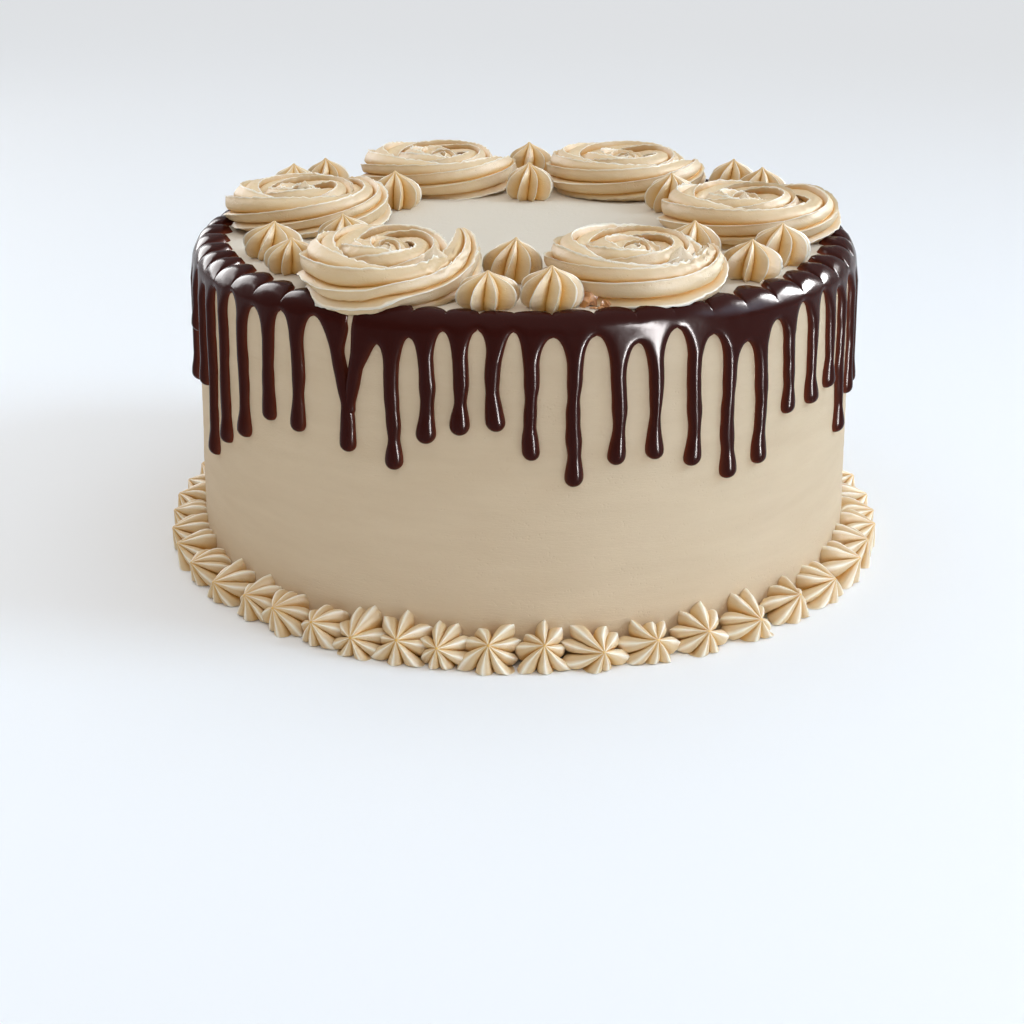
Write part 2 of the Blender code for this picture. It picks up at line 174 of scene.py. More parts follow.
def combine(tree, operation, first, second):
    # first and second are sockets or numbers
    node = addNode(tree, "ShaderNodeMath", operation=operation)
    for socket, value in ((node.inputs[0], first), (node.inputs[1], second)):
        if isinstance(value, float):
            socket.default_value = value
        else:
            tree.links.new(value, socket)
    return node.outputs["Value"]


def addRelief(tree, shader, height, strength, distance):
    bump = addNode(tree, "ShaderNodeBump", Strength=strength, Distance=distance)
    tree.links.new(height, bump.inputs["Height"])
    tree.links.new(bump.outputs["Normal"], shader.inputs["Normal"])


creamGrainShape = {
    "poreRim": (0.05, 0.32),  # from the bottom of a pore to its rim
    "poreDepth": 0.7,
    "patchScale": 240.0,  # pores lie in patches of this scale
    "patchEdge": (0.50, 0.62),
    "smearScale": 420.0,
}


def creamGrainGroup():
    # soft mottling of the colour, and a height made of pores and smears
    tree, entry, leave = newGroup(
        "creamGrain",
        [
            ("Mottle Scale", "NodeSocketFloat", 60.0),
            ("Pore Scale", "NodeSocketFloat", 900.0),
            ("Smear Stretch", "NodeSocketFloat", 1.0),
        ],
        [("Mottle", "NodeSocketFloat"), ("Height", "NodeSocketFloat")],
    )
    link = tree.links.new
    place = addNode(tree, "ShaderNodeTexCoord")
    stretch = addNode(tree, "ShaderNodeCombineXYZ", X=1.0, Y=1.0)
    link(entry.outputs["Smear Stretch"], stretch.inputs["Z"])
    stretched = addNode(tree, "ShaderNodeVectorMath", operation="MULTIPLY")
    link(place.outputs["Object"], stretched.inputs[0])
    link(stretch.outputs["Vector"], stretched.inputs[1])
    mottle = addNode(tree, "ShaderNodeTexNoise", Detail=4.0, Roughness=0.6)
    link(stretched.outputs["Vector"], mottle.inputs["Vector"])
    link(entry.outputs["Mottle Scale"], mottle.inputs["Scale"])
    pores = addNode(tree, "ShaderNodeTexVoronoi", feature="F1")
    link(place.outputs["Object"], pores.inputs["Vector"])
    link(entry.outputs["Pore Scale"], pores.inputs["Scale"])
    patches = addNode(tree, "ShaderNodeTexNoise", Scale=creamGrainShape["patchScale"], Detail=1.0)
    link(place.outputs["Object"], patches.inputs["Vector"])
    smear = addNode(tree, "ShaderNodeTexNoise", Detail=5.0, Roughness=0.65)
    smear.inputs["Scale"].default_value = creamGrainShape["smearScale"]
    link(stretched.outputs["Vector"], smear.inputs["Vector"])
    # 0 between the pores and -1 at the bottom of one
    fromBottom = remap(tree, pores.outputs["Distance"], creamGrainShape["poreRim"])
    dent = combine(tree, "SUBTRACT", fromBottom, 1.0)
    inPatch = remap(tree, patches.outputs["Fac"], creamGrainShape["patchEdge"])
    dents = combine(tree, "MULTIPLY", dent, inPatch)
    pits = combine(tree, "MULTIPLY", dents, creamGrainShape["poreDepth"])
    height = combine(tree, "ADD", pits, smear.outputs["Fac"])
    link(mottle.outputs["Fac"], leave.inputs["Mottle"])
    link(height, leave.inputs["Height"])
    return tree


creamGrain = creamGrainGroup()

creamFinish = {
    # painted highlight: the lips of the crests are lightened towards white
    "lip": (0.98, 0.92, 0.78),
    "face": (0.75, 0.585, 0.37),
    "warmFace": (0.715, 0.505, 0.265),
    # painted shade: the grooves are darkened to a warm orange, standing in for shade and for light glowing
    # through the cream
    "groove": (0.75, 0.425, 0.085),
    # the mask is 0 on a crest, about 0.2 on a face and 1 in a groove
    "grooveShadeFrom": (0.24, 1.0),
    "lipHighlightFrom": (0.13, 0.0),
    "grain": {"Mottle Scale": 90.0, "Pore Scale": 1100.0, "Smear Stretch": 1.6},
    "relief": (0.5, 0.0004),  # strength, and depth in metres
    "roughness": 0.56,
    "gloss": 0.16,
    "glow": 0.14,
    "glowColour": (1.0, 0.68, 0.40),
    "glowDepth": 0.002,
}


def pipedCreamMaterial():
    made, tree, shader = newMaterial("pipedCream")
    grain = addNode(tree, "ShaderNodeGroup", node_tree=creamGrain, **creamFinish["grain"])
    deep = addNode(tree, "ShaderNodeAttribute", attribute_name="groove").outputs["Fac"]
    tone = mixColours(tree, grain.outputs["Mottle"], creamFinish["face"], creamFinish["warmFace"])
    # painted shade in the grooves and a painted highlight on the lips, both placed by the groove mask
    paintedGrooveShade = mixColours(tree, remap(tree, deep, creamFinish["grooveShadeFrom"]), tone, creamFinish["groove"])
    colour = mixColours(tree, remap(tree, deep, creamFinish["lipHighlightFrom"]), paintedGrooveShade, creamFinish["lip"])
    tree.links.new(colour, shader.inputs["Base Color"])
    addRelief(tree, shader, grain.outputs["Height"], *creamFinish["relief"])
    shader.inputs["Roughness"].default_value = creamFinish["roughness"]
    shader.inputs["Specular IOR Level"].default_value = creamFinish["gloss"]
    shader.inputs["Subsurface Weight"].default_value = creamFinish["glow"]
    shader.inputs["Subsurface Radius"].default_value = creamFinish["glowColour"]
    shader.inputs["Subsurface Scale"].default_value = creamFinish["glowDepth"]
    return made


frostingFinish = {
    "light": (0.76, 0.605, 0.415),
    "dark": (0.66, 0.505, 0.33),
    # painted light: the top is greyer and a little paler, standing in for the sky's light and its reflection
    # on it
    "top": (0.715, 0.64, 0.525),
    "grain": {"Mottle Scale": 28.0, "Pore Scale": 800.0, "Smear Stretch": 6.0},
    "relief": (0.36, 0.0004),
    "roughness": 0.62,
    "gloss": 0.03,
}


def smoothFrostingMaterial():
    made, tree, shader = newMaterial("smoothFrosting")
    grain = addNode(tree, "ShaderNodeGroup", node_tree=creamGrain, **frostingFinish["grain"])
    paintedSkyLightMask = addNode(tree, "ShaderNodeAttribute", attribute_name="paintedSkyLightMask").outputs["Fac"]
    tone = mixColours(tree, grain.outputs["Mottle"], frostingFinish["dark"], frostingFinish["light"])
    # painted light: faces that turn up take the greyer top colour
    colour = mixColours(tree, paintedSkyLightMask, tone, frostingFinish["top"])
    tree.links.new(colour, shader.inputs["Base Color"])
    addRelief(tree, shader, grain.outputs["Height"], *frostingFinish["relief"])
    shader.inputs["Roughness"].default_value = frostingFinish["roughness"]
    shader.inputs["Specular IOR Level"].default_value = frostingFinish["gloss"]
    return made


ganacheFinish = {
    "thick": (0.036, 0.0050, 0.0030),
    "thin": (0.17, 0.040, 0.020),
    "cloudScale": 160.0,
    "relief": (0.2, 0.0006),
    "roughness": (0.14, 0.27),
    "gloss": 0.062,
}


def ganacheMaterial():
    made, tree, shader = newMaterial("darkGanache")
    thin = addNode(tree, "ShaderNodeAttribute", attribute_name="thin").outputs["Fac"]
    colour = mixColours(tree, thin, ganacheFinish["thick"], ganacheFinish["thin"])
    tree.links.new(colour, shader.inputs["Base Color"])
    place = addNode(tree, "ShaderNodeTexCoord")
    cloud = addNode(tree, "ShaderNodeTexNoise", Scale=ganacheFinish["cloudScale"], Detail=3.0)
    tree.links.new(place.outputs["Object"], cloud.inputs["Vector"])
    matt = remap(tree, cloud.outputs["Fac"], (0.0, 1.0), ganacheFinish["roughness"])
    tree.links.new(matt, shader.inputs["Roughness"])
    addRelief(tree, shader, cloud.outputs["Fac"], *ganacheFinish["relief"])
    shader.inputs["Specular IOR Level"].default_value = ganacheFinish["gloss"]
    return made


toffeeFinish = {
    "light": (0.72, 0.40, 0.16),
    "dark": (0.44, 0.16, 0.04),
    "swirlScale": 420.0,
    "relief": (0.3, 0.0003),
    "roughness": 0.42,
}


def toffeeMaterial():
    made, tree, shader = newMaterial("toffee")
    place = addNode(tree, "ShaderNodeTexCoord")
    swirl = addNode(tree, "ShaderNodeTexNoise", Scale=toffeeFinish["swirlScale"], Detail=4.0)
    tree.links.new(place.outputs["Object"], swirl.inputs["Vector"])
    colour = mixColours(tree, swirl.outputs["Fac"], toffeeFinish["dark"], toffeeFinish["light"])
    tree.links.new(colour, shader.inputs["Base Color"])
    addRelief(tree, shader, swirl.outputs["Fac"], *toffeeFinish["relief"])
    shader.inputs["Roughness"].default_value = toffeeFinish["roughness"]
    return made


pipedCream = pipedCreamMaterial()
smoothFrosting = smoothFrostingMaterial()
darkGanache = ganacheMaterial()
toffee = toffeeMaterial()
print("finishes ready")


# the smooth cake

def cakeProfile():
    # radius and height of each row, and how far it faces out and up
    radius, height, edge = cake["radius"], cake["height"], cake["edge"]
    topRadius = radius - cake["taper"]
    profile = []
    for z in np.linspace(0.0, height - edge, cake["sideRows"]):
        profile.append((radius - cake["taper"] * z / (height - edge), z, 1.0, 0.0))
    for bend in np.linspace(0.0, 0.5 * math.pi, cake["edgeRows"])[1:]:
        out, up = math.cos(bend), math.sin(bend)
        profile.append((topRadius - edge + edge * out, height - edge + edge * up, out, up))
    for r in np.linspace(topRadius - edge, 0.6, cake["topRows"])[1:]:
        profile.append((r, height, 0.0, 1.0))
    return np.array(profile)


def frostedCake():
    profile = cakeProfile()
    turn = np.linspace(0.0, 2.0 * np.pi, cake["around"], endpoint=False)
    r = profile[:, 0][:, None] * np.ones_like(turn)
    z = profile[:, 1][:, None] * np.ones_like(turn)
    base = np.stack([r * np.cos(turn), r * np.sin(turn), z], -1)
    smears = noiseAt(base * np.array(cake["smearScale"]), 1.0, 1, 3)
    lumps = noiseAt(base * np.array(cake["lumpScale"]), 1.0, 4, 2)
    # it only wanders inwards, so the cake keeps its size
    wander = np.minimum(cake["smear"] * (0.7 * smears + 0.9 * lumps) - 0.12, 0.0)
    r = r + wander * profile[:, 2][:, None]
    z = z + wander * profile[:, 3][:, None] * 0.7
    points = np.stack([r * np.cos(turn), r * np.sin(turn), z], -1).reshape(-1, 3)
    # how far each row faces up: where the painted sky light on the top goes
    paintedSkyLightMask = np.repeat(profile[:, 3], cake["around"]) ** 2
    return meshPiece(
        "frostedCake", points * mm, closedFaces(len(profile), cake["around"]), smoothFrosting,
        "cake_body", masks={"paintedSkyLightMask": paintedSkyLightMask},
    )


frostedCake()
print("smooth cake ready")


# the chocolate

ganache = {
    # angle of the tip and depth below the top, from the split round the front
    "frontDrips": [
        (-164.2, 27.1), (-158.1, 42.1), (-153.1, 62.9), (-147.4, 55.3), (-140.7, 49.7),
        (-134.0, 40.7), (-127.2, 41.4), (-120.2, 0.0), (-114.9, 0.0), (-109.8, 47.3),
        (-104.6, 38.2), (-99.4, 34.9), (-94.2, 33.3), (-88.8, 42.0), (-82.6, 50.3),
        (-75.9, 44.4), (-69.8, 43.9), (-63.5, 47.7), (-57.0, 54.0), (-50.4, 52.1),
        (-43.7, 39.2), (-36.8, 39.5), (-30.4, 37.6), (-24.6, 56.0),
    ],
    "frontArches": [
        5.0, 7.5, 6.0, 4.6, 6.2, 5.0, 4.2, 4.2, 9.8, 6.8, 4.2, 3.6, 3.8, 5.4,
        5.2, 8.2, 5.0, 8.4, 12.6, 8.2, 5.4, 4.8, 6.4, 5.2,
    ],
    "rightLeg": 8,
    "otherDrips": 29,
    "splitSides": (1.75, 2.65),  # degrees from a leg to the bare split beside it
    "jointTip": (-117.6, 44.0),
    "legsMeet": 29.0,
    "halfWidth": 2.35,
    "bulb": 2.9,
    "bulbFrom": 10.0,  # above the tip
    "thickness": 2.35,
    "bandThickness": 1.2,
    "sink": 0.12,  # how deep its rim lies in the buttercream
    "archTall": (7.5, 12.0),
    # how far a head reaches in over the top, and how far the notches beside it stay out
    "headReach": (1.5, 2.9),
    "headAtSides": 4.6,
    "notchOut": (-0.6, 0.9),
    "notchAtSides": 3.6,
    "notchAtSplit": 0.5,
    "headBow": 0.6,
    "bandEnd": 5.0,  # down to here the rows follow the heads, and below it they are level
    "across": 17,
}


def alongAtDepth(depth):
    edge = cake["edge"]
    if depth >= edge:
        return 0.5 * math.pi * edge + depth - edge
    return edge * math.acos(1.0 - depth / edge)


def skinPoints(angle, along, lift):
    # points over the top edge: along runs in from the flat top (below 0),
    # round the edge and down the side; lift stands off the cake
    edge = cake["edge"]
    down = np.maximum(along - 0.5 * math.pi * edge, 0.0)
    bend = np.clip(along / edge, 0.0, 0.5 * math.pi)
    widening = cake["taper"] * down / (cake["height"] - edge)
    reach = cake["radius"] - cake["taper"] - edge + np.minimum(along, 0.0)
    reach = reach + (edge + lift) * np.sin(bend) + widening
    height = cake["height"] - edge + (edge + lift) * np.cos(bend) - down
    turn = np.radians(angle)
    return np.stack([reach * np.cos(turn), reach * np.sin(turn), height], -1)


def dripList():
    rng = np.random.default_rng(21)
    drips = [(a, d, arch) for (a, d), arch in zip(ganache["frontDrips"], ganache["frontArches"])]
    first = drips[0][0] + 360.0
    last = drips[-1][0]
    pitch = (first - last) / (ganache["otherDrips"] + 1)
    for i in range(ganache["otherDrips"]):
        angle = last + pitch * (i + 1) + rng.uniform(-0.35, 0.35)
        drips.append((angle, rng.uniform(31.0, 58.0), rng.uniform(4.0, 8.5)))
    split = ganache["rightLeg"]
    return drips[split:] + [(a + 360.0, d, arch) for a, d, arch in drips[:split]]


def smoothStep(value):
    share = np.clip(value, 0.0, 1.0)
    return 3.0 * share ** 2 - 2.0 * share ** 3


def archDistance(x, along, middle, halfGap, top, tall):
    # how far a point lies outside the arch-shaped opening between two drips
    dx = (x - middle) / halfGap
    dy = np.minimum(along - top - tall, 0.0) / tall
    e = np.sqrt(dx * dx + dy * dy) + 1e-6
    slope = np.sqrt((dx / halfGap) ** 2 + (dy / tall) ** 2) / e + 1e-6
    return (e - 1.0) / slope


perDegree = math.pi / 180.0 * cake["radius"]
acrossShares = np.sin(0.5 * np.pi * np.linspace(-1.0, 1.0, ganache["across"]))
leftSide = acrossShares < 0.0


def edgesBetween(drips, tips, rng):
    # what two neighbours share: half the way between them, the notch and the arch
    edges = []
    for i in range(len(drips) - 1):
        angle, nextAngle = drips[i][0], drips[i + 1][0]
        beside = abs(math.cos(math.radians(0.5 * (angle + nextAngle))))  # 0 at the front, 1 at the sides
        top = alongAtDepth(drips[i][2])
        edges.append({
            "half": 0.5 * (nextAngle - angle) * perDegree,
            "notch": rng.uniform(*ganache["notchOut"]) + ganache["notchAtSides"] * beside,
            "top": top,
            "tall": max(3.0, min(rng.uniform(*ganache["archTall"]), min(tips[i], tips[i + 1]) - top - 10.0)),
            "open": False,
        })
    splits = [
        {"half": side * perDegree, "notch": ganache["notchAtSplit"], "top": 0.0, "tall": 1.0, "open": True}
        for side in ganache["splitSides"]
    ]
    return splits[:1] + edges + splits[1:]


def innerEdge(drip, x):
    # the rounded head of a pour, back to the notch on either side of it
    edges = []
    for edge, away in ((drip["left"], -x), (drip["right"], x)):
        share = np.clip(away / edge["half"], 0.0, 1.0)
        bow = np.cos(0.5 * np.pi * share) ** ganache["headBow"]
        edges.append(edge["notch"] + (drip["head"] - edge["notch"]) * bow)
    return np.where(x < 0.0, *edges)


def bulbShare(drip, along):
    return smoothStep((along - (drip["tip"] - ganache["bulbFrom"])) / 7.0)


def dripWidth(drip, along):
    # half the width that a drip has of its own, below the arches beside it
    tip, bulb = drip["tip"], drip["bulb"]
    if along > tip - bulb:
        return math.sqrt(max(bulb ** 2 - (along - tip + bulb) ** 2, 0.0))
    edges = (drip["left"], drip["right"])
    below = min(smoothStep((along - edge["top"] - edge["tall"]) / 8.0) for edge in edges)
    own = drip["slim"] + 0.10 * math.sin(drip["wave"] + 0.25 * along)
    own = own + 0.05 * math.sin(drip["waver"] + 0.7 * along)
    wide = ganache["halfWidth"] * (1.0 + (own - 1.0) * below)
    return wide + (bulb - wide) * bulbShare(drip, along)


def sideReach(edge, along, wide):
    # how far the patch reaches: halfway to its neighbour, or in along the arch
    half = edge["half"]
    if edge["open"]:
        return half + (wide - half) * smoothStep((along - 8.0) / 9.0)
    if along <= edge["top"]:
        return half
    share = min((along - edge["top"]) / edge["tall"], 1.0)
    return half - (half - wide) * math.sqrt(1.0 - (1.0 - share) ** 2)


def rimShare(drip, x, along, inner, sideways, isLevel, value, left, right):
    # 0 on the rim of the chocolate, 1 where it has its full thickness
    narrow = ganache["halfWidth"]
    half = np.where(leftSide, drip["left"]["half"], drip["right"]["half"])
    steep = (innerEdge(drip, x + 0.2) - innerEdge(drip, x - 0.2)) / 0.4
    distance = along - inner
    meeting = np.clip(np.abs(x) / half / 0.15 - 5.67, 0.0, 1.0)
    slant = (1.0 - meeting) / np.sqrt(1.0 + steep ** 2) + 0.45 * meeting
    distance = distance * (slant + (1.0 - slant) * smoothStep(distance / (1.5 + 2.5 * sideways)))
    roundOver = narrow + 0.8 * sideways * np.clip(1.0 - along / 6.0, 0.0, 1.0)
    for edge, sign, reach, here in (
        (drip["left"], -1.0, left, leftSide),
        (drip["right"], 1.0, right, ~leftSide),
    ):
        pastArch = isLevel and (edge["open"] or value > edge["top"] + edge["tall"])
        if not edge["open"] and not pastArch:
            gap = edge["half"] - narrow
            arch = archDistance(x, along, sign * edge["half"], gap, edge["top"], edge["tall"])
            distance = np.minimum(distance, arch)
        else:
            distance = np.minimum(distance, np.where(here, reach - sign * x, 99.0))
            roundOver = np.where(here, max(reach, 0.3), roundOver)
    share = np.clip(distance / np.minimum(roundOver, narrow * 1.4), 0.0, 1.0)
    return np.sqrt(1.0 - (1.0 - share) ** 2)


def dripShift(drip, along):
    # a drip leans and wavers, and the two legs beside the split run together
    bandEnd, meet = ganache["bandEnd"], drip["meet"]
    if drip["toJoint"] is not None:
        return drip["toJoint"] * min(max((along - 6.0) / (meet - 6.0), 0.0), 1.0) ** 1.15
    fall = min(max((along - bandEnd) / (drip["tip"] - bandEnd), 0.0), 1.0)
    waver = 0.3 * math.sin(drip["wave"] + 0.2 * along) * min(1.0, 3.0 * fall)
    return drip["lean"] * math.sin(math.pi * fall) + waver


def patchRow(drip, isLevel, value):
    # one row of points across a drip: value is a share of the band, or how far down a level row is
    left, right = drip["left"]["half"], drip["right"]["half"]
    if isLevel:
        wide = dripWidth(drip, value)
        left, right = (sideReach(edge, value, wide) for edge in (drip["left"], drip["right"]))
    x = np.where(leftSide, acrossShares * left, acrossShares * right)
    inner = innerEdge(drip, x)
    along = np.full(len(x), value) if isLevel else inner + (ganache["bandEnd"] - inner) * value
    sideways = np.abs(np.cos(np.radians(drip["angle"] + x / perDegree)))  # 0 at the front, 1 at the sides
    full = rimShare(drip, x, along, inner, sideways, isLevel, value, left, right)
    tip, bulb = drip["tip"], drip["bulb"]
    if isLevel and value > tip - bulb:
        dome = np.maximum(bulb ** 2 - (value - tip + bulb) ** 2 - x ** 2, 0.0)
        full = np.clip(np.sqrt(dome) / bulb, 0.0, 1.0)
    # a thick head on top with a crease on either side of it, then fuller down the drip
    half = np.where(leftSide, drip["left"]["half"], drip["right"]["half"])
    crown = np.cos(0.5 * np.pi * np.clip(np.abs(x) / half, 0.0, 1.0))
    head = (0.12 * crown + 1.5 * sideways ** 1.5 * (crown - 0.3)) * np.clip(1.2 - along / 5.0, 0.0, 1.0)
    thick = ganache["bandThickness"] + head
    thick = thick + (ganache["thickness"] - thick) * np.clip((along - ganache["bandEnd"]) / 10.0, 0.0, 1.0)
    shift = 0.0
    if isLevel:
        thick = thick + (bulb + 0.1 - thick) * bulbShare(drip, value)
        shift = dripShift(drip, value)
    # what it shares with its neighbour stays put
    topNow = np.where(leftSide, drip["left"]["top"], drip["right"]["top"])
    hold = 1.0 - acrossShares ** 2 * (1.0 - np.clip((along - topNow) / 8.0, 0.0, 1.0))
    place = drip["angle"] + (x + shift * hold) / perDegree
    return skinPoints(place, along, thick * full - ganache["sink"]), 1.0 - full


def dripPatch(drip):
    # from the scalloped inner edge down to the tip; neighbours share the points midway between them
    tip, bulb = drip["tip"], drip["bulb"]
    archEnd = max(edge["top"] + edge["tall"] for edge in (drip["left"], drip["right"]))
    levels = np.arange(ganache["bandEnd"], archEnd + 2.0, 0.5)
    roundEnd = tip - bulb * (1.0 - np.sin(np.linspace(-0.6, 0.5 * math.pi, 11)))
    plain = np.arange(levels[-1] + 0.9, roundEnd[0] - 0.5, 1.0)
    levels = np.concatenate([levels[levels < roundEnd[0] - 0.4], plain, roundEnd])
    rows = [(False, float(share)) for share in np.linspace(0.0, 1.0, 10)[:-1]]
    rows += [(True, round(float(level), 4)) for level in levels]
    points, thin = zip(*(patchRow(drip, isLevel, value) for isLevel, value in rows))
    faces = [face[::-1] for face in gridFaces(len(rows), ganache["across"], closed=False)]
    return np.array(points), faces, np.array(thin)


def ganacheCoat():
    rng = np.random.default_rng(5)
    drips = dripList()
    last = len(drips) - 1
    meet = alongAtDepth(ganache["legsMeet"])
    tips = [alongAtDepth(depth) for angle, depth, arch in drips]
    tips[0] = meet + 3.5
    tips[last] = alongAtDepth(ganache["jointTip"][1])
    edges = edgesBetween(drips, tips, rng)
    # the legs beside the split end at the same place, one of them thinner
    toJoint = {
        0: (ganache["jointTip"][0] - drips[0][0]) * perDegree + 0.5,
        last: (ganache["jointTip"][0] + 360.0 - drips[last][0]) * perDegree - 0.2,
    }
    patches = []
    for i, (angle, depth, arch) in enumerate(drips):
        beside = abs(math.cos(math.radians(angle)))
        patches.append(dripPatch({
            "angle": angle,
            "tip": tips[i],
            "left": edges[i],
            "right": edges[i + 1],
            "bulb": ganache["bulb"] * rng.uniform(0.90, 1.08) * (0.7 if i == 0 else 1.0),
            "lean": rng.uniform(-0.6, 0.6),
            "wave": rng.uniform(0.0, 6.0),
            "waver": rng.uniform(0.0, 6.0),
            "slim": rng.uniform(0.84, 1.02),
            "head": -rng.uniform(*ganache["headReach"]) - ganache["headAtSides"] * beside,
            "meet": meet,
            "toJoint": toJoint.get(i),
        }))
    points, faces, thin = joinShells(patches)
    piece = meshPiece(
        "ganacheCoat", points * mm, faces, darkGanache,
        "ganache_drip", masks={"thin": thin ** 2.0},
    )
    work = bmesh.new()
    work.from_mesh(piece.data)
    bmesh.ops.remove_doubles(work, verts=work.verts[:], dist=0.00001)
    work.to_mesh(piece.data)
    work.free()
    piece.data.shade_smooth()
    return piece


ganacheCoat()
print("chocolate ready")


# piped rosettes

rosettes = {
    # centre on the cake (radius, angle), half its width and depth, where the
    # rope ends, how far its tail is pulled up and out, and its twist
    "places": [
        (83.0, -119.1, 27.6, 28.8, 31.0, 6.0, 3.4, 0.66),
        (79.2, -64.4, 28.4, 28.6, 14.0, 3.0, 1.6, 0.48),
        (76.8, 0.4, 30.6, 30.6, 60.0, 2.0, 0.5, 0.60),
        (82.0, 61.5, 31.0, 28.6, 12.0, 1.0, 1.8, 0.60),
        (82.5, 112.5, 30.8, 28.2, 14.0, 1.0, 2.0, 0.65),
        (76.4, 169.9, 28.2, 28.8, 70.0, 1.5, 0.5, 0.65),
    ],
    "front": (1, 2),  # these dip and tear the most
    "height": 14.0,
    "turns": 2.25,
    "tailFrom": 0.935,  # as a share of the rope
    "tailThin": 0.74,
    "ribs": 8,
    "ribDepth": 0.50,
    "unevenRibs": 0.26,
    "steps": 270,
    # a blade: a thin lip, a broad face that falls back, then a narrow cut under the next lip
    "bladeSpots": (0.0, 0.025, 0.07, 0.17, 0.34, 0.52, 0.66, 0.76, 0.83, 0.88, 0.93, 0.975),
    "bladeCut": (0.0, 0.08, 0.14, 0.19, 0.24, 0.32, 0.42, 0.56, 0.80, 1.0, 0.78, 0.08),
    # the mound in the middle: its width, its foot, and how far it stays below the top
    "mound": (5.2, 4.0, 2.2),
    # a small torn peak beside the middle: across, depth, and its width
    "peaks": {1: (13.0, -7.0, 5.2), 2: (11.5, -7.5, 5.0), 3: (-3.0, -2.0, 3.6), 6: (-2.0, 3.0, 3.6)},
    "peakFoot": 9.0,
}


def ribColumns(rng, ribs, spots, spread):
    # angle of each mesh line along uneven ribs, and the rib that it belongs to
    widths = 1.0 + spread * rng.uniform(-1.0, 1.0, ribs)
    widths *= 2.0 * np.pi / widths.sum()
    starts = np.concatenate([[0.0], np.cumsum(widths)[:-1]])
    angles = (starts[:, None] + widths[:, None] * spots).ravel()
    return angles, np.repeat(np.arange(ribs), len(spots))


def startMound(across, deep, width, low, high, phase):
    # the small folded mound that the rope starts from
    h = np.linspace(0.0, 1.0, 12)[:, None]
    turn = np.linspace(0.0, 2.0 * np.pi, 50, endpoint=False)[None, :]
    fold = np.abs(np.sin(2.5 * (turn - 2.2 * h) + phase))
    out = width * np.sqrt(1.0 - 0.985 * h ** 1.6) * (0.78 + 0.22 * fold)
    height = low + (high - low) * h + 0.0 * out
    return np.stack([across + out * np.cos(turn), deep + out * np.sin(turn), height], -1)


def tornPeak(across, deep, width, low, high):
    # a three-sided fin where the nozzle was pulled away
    h = np.linspace(0.0, 1.0, 9)[:, None]
    turn = np.linspace(0.0, 2.0 * np.pi, 18, endpoint=False)[None, :]
    sides = 1.0 + 0.30 * np.cos(3.0 * turn + 0.6) + 0.10 * np.sin(5.0 * turn + 4.0 * h)
    out = width * (1.0 - 0.96 * h) * sides
    side = across + out * np.cos(turn) + 0.9 * h ** 2
    back = deep + 0.7 * out * np.sin(turn)
    return np.stack([side, back, low + (high - low) * h + 0.0 * out], -1)


def ropePath(number, rng, halfWidth, halfDepth, ending, pull, stretch):
    # the middle line of the wound rope, its heading and its half thickness
    tall = rosettes["height"]
    rope = 0.5 * tall
    along = np.linspace(0.0, 1.0, rosettes["steps"])
    turn = math.radians(ending) - 2.0 * np.pi * rosettes["turns"] * (1.0 - along)
    tail = np.clip((along - rosettes["tailFrom"]) / (1.0 - rosettes["tailFrom"]), 0.0, 1.0)
    size = rope * (0.80 + 0.20 * np.clip(along / 0.35, 0.0, 1.0))
    size = size * (0.30 + 0.70 * np.sqrt(np.clip(along / 0.02, 0.0, 1.0)))
    size = size * (1.0 - rosettes["tailThin"] * tail ** 1.6)
    reach = 0.4 + (halfWidth - rope) * np.clip(along * 1.10, 0.0, 1.0) ** 0.92
    reach = reach + 0.3 * np.sin(1.7 * turn + rng.uniform(0.0, 6.0))
    # the middle lies a little lower, and so does the front right
    dip = 2.5 if number in rosettes["front"] else 1.2
    height = 0.46 * tall - 0.8 * (1.0 - np.clip(along / 0.5, 0.0, 1.0)) + pull * tail
    height = height - dip * np.clip(np.cos(turn + 1.1), 0.0, 1.0) * np.clip(2.0 * along - 0.6, 0.0, 1.0)
    path = np.stack([reach * np.cos(turn), reach * np.sin(turn), height], 1)
    path[:, :2] -= 0.5 * (path[:, :2].max(axis=0) + path[:, :2].min(axis=0))
    path[:, 0] *= (halfWidth - 1.02 * rope) / path[:, 0].max()
    path[:, 1] *= (halfDepth - 1.02 * rope) / path[:, 1].max()
    path[:, 0] += stretch * tail ** 1.2
    step = np.gradient(path, axis=0)
    heading = np.unwrap(np.arctan2(step[:, 1], step[:, 0]))
    return path, heading, size


